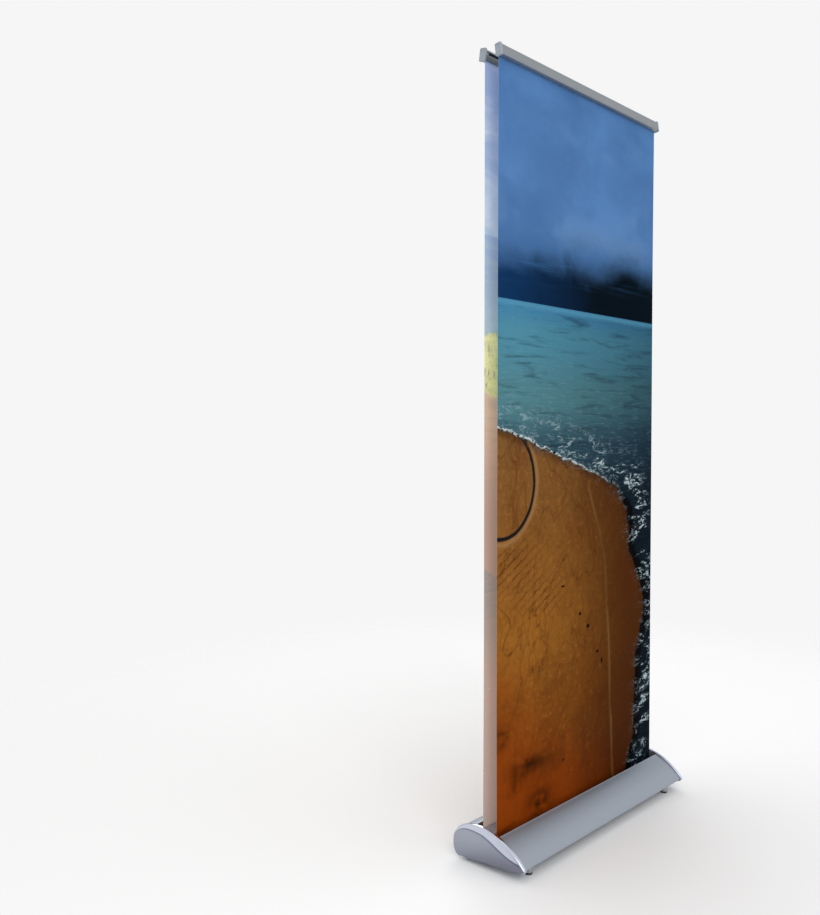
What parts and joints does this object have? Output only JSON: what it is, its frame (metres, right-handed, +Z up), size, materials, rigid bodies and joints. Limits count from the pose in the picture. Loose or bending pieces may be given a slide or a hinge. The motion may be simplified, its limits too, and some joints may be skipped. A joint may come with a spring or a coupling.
{
  "type": "double-sided roll-up banner stand",
  "caption": "Free-standing double-sided roll-up display: teardrop aluminium base with plated ends, telescopic pole, snap rails and two printed sheets",
  "frame": {"origin": "on the floor, under the middle of the base", "axes": "+Z up, +X along the base, the front sheet faces -Y"},
  "size_m": [0.85, 0.233, 2.1126],
  "materials": {
    "anodised_aluminium": "satin silver anodised",
    "chrome_plating": "satin chrome plated plastic with a brighter rim",
    "zinc_steel": "zinc plated",
    "grey_nylon": "moulded grey nylon",
    "rail_cap_plastic": "silver-grey moulded plastic",
    "black_rubber": "matt",
    "printed_film": "printed matt film with a pale back",
    "leader_film": "plain white film"
  },
  "bodies": {
    "base": {"base_tray": "anodised_aluminium", "front_cover": "anodised_aluminium", "front_graphic_lower": "printed_film", "front_idle_bush": "leader_film", "front_spring_shaft": "zinc_steel", "front_torsion_spring": "zinc_steel", "left_end_cap": "chrome_plating", "left_end_plate": "grey_nylon", "left_plate_screw_front": "zinc_steel", "left_plate_screw_rear": "zinc_steel", "pole_lower_tube": "anodised_aluminium", "pole_socket": "grey_nylon", "rear_graphic_lower": "printed_film", "rear_idle_bush": "leader_film", "rear_shell": "anodised_aluminium", "rear_spring_shaft": "zinc_steel", "rear_torsion_spring": "zinc_steel", "right_end_cap": "chrome_plating", "right_end_plate": "grey_nylon", "right_plate_screw_front": "zinc_steel", "right_plate_screw_rear": "zinc_steel", "slot_bridge": "anodised_aluminium", "socket_screw_left": "zinc_steel", "socket_screw_right": "zinc_steel"},
    "front_roller": {"front_roller_tube": "anodised_aluminium", "front_leader": "leader_film", "front_idle_plug": "grey_nylon", "front_spring_plug": "grey_nylon", "front_spring_anchor": "grey_nylon"},
    "rear_roller": {"rear_roller_tube": "anodised_aluminium", "rear_leader": "leader_film", "rear_idle_plug": "grey_nylon", "rear_spring_plug": "grey_nylon", "rear_spring_anchor": "grey_nylon"},
    "lower_lock": {"lower_lock_collar": "grey_nylon"},
    "pole_middle": {"pole_middle_tube": "anodised_aluminium", "pole_middle_guide": "grey_nylon"},
    "upper_lock": {"upper_lock_collar": "grey_nylon"},
    "pole_top": {"pole_top_tube": "anodised_aluminium", "pole_top_guide": "grey_nylon", "pole_head": "grey_nylon", "front_rail_body": "anodised_aluminium", "front_rail_cap_left": "rail_cap_plastic", "front_rail_cap_right": "rail_cap_plastic", "front_graphic_upper": "printed_film", "rear_rail_body": "anodised_aluminium", "rear_rail_cap_left": "rail_cap_plastic", "rear_rail_cap_right": "rail_cap_plastic", "rear_graphic_upper": "printed_film"},
    "front_jaw": {"front_rail_jaw": "anodised_aluminium"},
    "rear_jaw": {"rear_rail_jaw": "anodised_aluminium"},
    "front_left_pad": {"foot_pad_front_left": "black_rubber"},
    "front_left_screw": {"foot_screw_front_left": "zinc_steel"},
    "front_right_pad": {"foot_pad_front_right": "black_rubber"},
    "front_right_screw": {"foot_screw_front_right": "zinc_steel"},
    "rear_left_pad": {"foot_pad_rear_left": "black_rubber"},
    "rear_left_screw": {"foot_screw_rear_left": "zinc_steel"},
    "rear_right_pad": {"foot_pad_rear_right": "black_rubber"},
    "rear_right_screw": {"foot_screw_rear_right": "zinc_steel"}
  },
  "joints": [
    {"name": "pole_middle_slide", "type": "slide", "parent": "base", "child": "pole_middle", "axis": [0, 0, 1], "range_m": [-0.62, 0], "deforming": ["front_graphic_lower", "rear_graphic_lower"]},
    {"name": "pole_top_slide", "type": "slide", "parent": "pole_middle", "child": "pole_top", "axis": [0, 0, 1], "range_m": [-0.62, 0]},
    {"name": "front_roller_spin", "type": "hinge", "parent": "base", "child": "front_roller", "pos_m": [0, -0.0288, 0.049], "axis": [1, 0, 0], "range_deg": [-4110, 0]},
    {"name": "rear_roller_spin", "type": "hinge", "parent": "base", "child": "rear_roller", "pos_m": [0, 0.0498, 0.049], "axis": [1, 0, 0], "range_deg": [0, 4110]},
    {"name": "lower_lock_twist", "type": "hinge", "parent": "base", "child": "lower_lock", "pos_m": [0, 0.0105, 0.74], "axis": [0, 0, 1], "range_deg": [0, 90]},
    {"name": "upper_lock_twist", "type": "hinge", "parent": "pole_middle", "child": "upper_lock", "pos_m": [0, 0.0105, 1.405], "axis": [0, 0, 1], "range_deg": [0, 90]},
    {"name": "front_jaw_open", "type": "hinge", "parent": "pole_top", "child": "front_jaw", "pos_m": [0, -0.0179, 2.10635], "axis": [1, 0, 0], "range_deg": [-50, 0]},
    {"name": "rear_jaw_open", "type": "hinge", "parent": "pole_top", "child": "rear_jaw", "pos_m": [0, 0.0389, 2.10635], "axis": [1, 0, 0], "range_deg": [0, 50]},
    {"name": "front_left_foot_height", "type": "slide", "parent": "base", "child": "front_left_pad", "axis": [0, 0, 1], "range_m": [-0.006, 0.003]},
    {"name": "front_left_foot_turn", "type": "hinge", "parent": "front_left_pad", "child": "front_left_screw", "pos_m": [-0.36, -0.084, 0.02], "axis": [0, 0, 1], "range_deg": [-1441, 721]},
    {"name": "front_right_foot_height", "type": "slide", "parent": "base", "child": "front_right_pad", "axis": [0, 0, 1], "range_m": [-0.006, 0.003]},
    {"name": "front_right_foot_turn", "type": "hinge", "parent": "front_right_pad", "child": "front_right_screw", "pos_m": [0.36, -0.084, 0.02], "axis": [0, 0, 1], "range_deg": [-1441, 721]},
    {"name": "rear_left_foot_height", "type": "slide", "parent": "base", "child": "rear_left_pad", "axis": [0, 0, 1], "range_m": [-0.006, 0.0015]},
    {"name": "rear_left_foot_turn", "type": "hinge", "parent": "rear_left_pad", "child": "rear_left_screw", "pos_m": [-0.36, 0.084, 0.02], "axis": [0, 0, 1], "range_deg": [-1441, 361]},
    {"name": "rear_right_foot_height", "type": "slide", "parent": "base", "child": "rear_right_pad", "axis": [0, 0, 1], "range_m": [-0.006, 0.0015]},
    {"name": "rear_right_foot_turn", "type": "hinge", "parent": "rear_right_pad", "child": "rear_right_screw", "pos_m": [0.36, 0.084, 0.02], "axis": [0, 0, 1], "range_deg": [-1441, 361]}
  ],
  "couplings": [
    {"joint": "pole_top_slide", "follows": "pole_middle_slide", "ratio": 1},
    {"joint": "front_roller_spin", "follows": "pole_middle_slide", "rad_per_m": 115.61},
    {"joint": "rear_roller_spin", "follows": "pole_middle_slide", "rad_per_m": -115.61},
    {"joint": "front_left_foot_turn", "follows": "front_left_foot_height", "rad_per_m": 4188.8},
    {"joint": "front_right_foot_turn", "follows": "front_right_foot_height", "rad_per_m": 4188.8},
    {"joint": "rear_left_foot_turn", "follows": "rear_left_foot_height", "rad_per_m": 4188.8},
    {"joint": "rear_right_foot_turn", "follows": "rear_right_foot_height", "rad_per_m": 4188.8}
  ]
}
